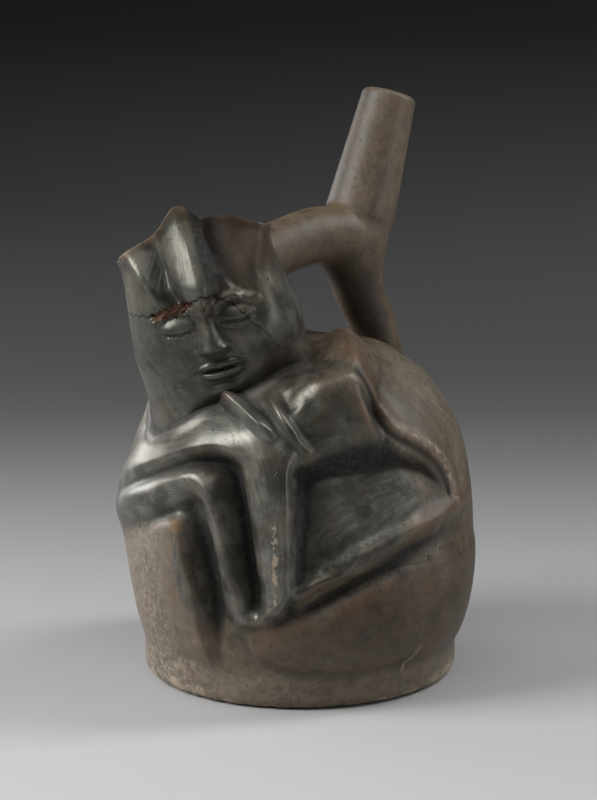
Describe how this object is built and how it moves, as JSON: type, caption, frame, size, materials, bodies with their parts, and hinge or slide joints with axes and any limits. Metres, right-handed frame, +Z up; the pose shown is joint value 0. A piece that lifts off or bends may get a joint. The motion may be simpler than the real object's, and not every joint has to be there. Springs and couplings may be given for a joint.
{
  "type": "spouted effigy vessel",
  "caption": "Hollow clay vessel shaped as a seated figure under a plain domed cape, with a turned head and a stirrup of hollow limbs that carries a straight spout.",
  "frame": {"origin": "centre of the flat standing face", "axes": "+Z up, -Y the way the seated figure faces, +X the figure's left; the stirrup and spout lie in the plane x = 0"},
  "size_m": [0.1448, 0.1415, 0.2231],
  "materials": {
    "plinth_clay": "matt, worn, chipped along the edge",
    "cape_clay": "satin brown slip",
    "thigh_clay": "satin brown slip",
    "chest_clay": "burnished dark grey",
    "face_clay": "burnished grey",
    "stirrup_clay": "satin brown slip",
    "spout_clay": "matt tan brown"
  },
  "bodies": {
    "root": {"base_slab": "plinth_clay", "body_front_wall": "cape_clay", "body_back_wall": "cape_clay", "left_thigh": "thigh_clay", "right_thigh": "thigh_clay", "left_forearm": "face_clay", "right_forearm": "face_clay", "lap_panel": "chest_clay", "shin_ridge": "chest_clay", "knee_roll": "chest_clay", "right_leg": "chest_clay", "collar_roll": "chest_clay", "left_hand": "face_clay", "mouth_rod": "face_clay", "head_face": "face_clay", "head_crown": "face_clay", "head_back": "stirrup_clay", "stirrup_front_limb": "stirrup_clay", "stirrup_rear_limb": "stirrup_clay", "spout": "spout_clay"}
  },
  "joints": []
}
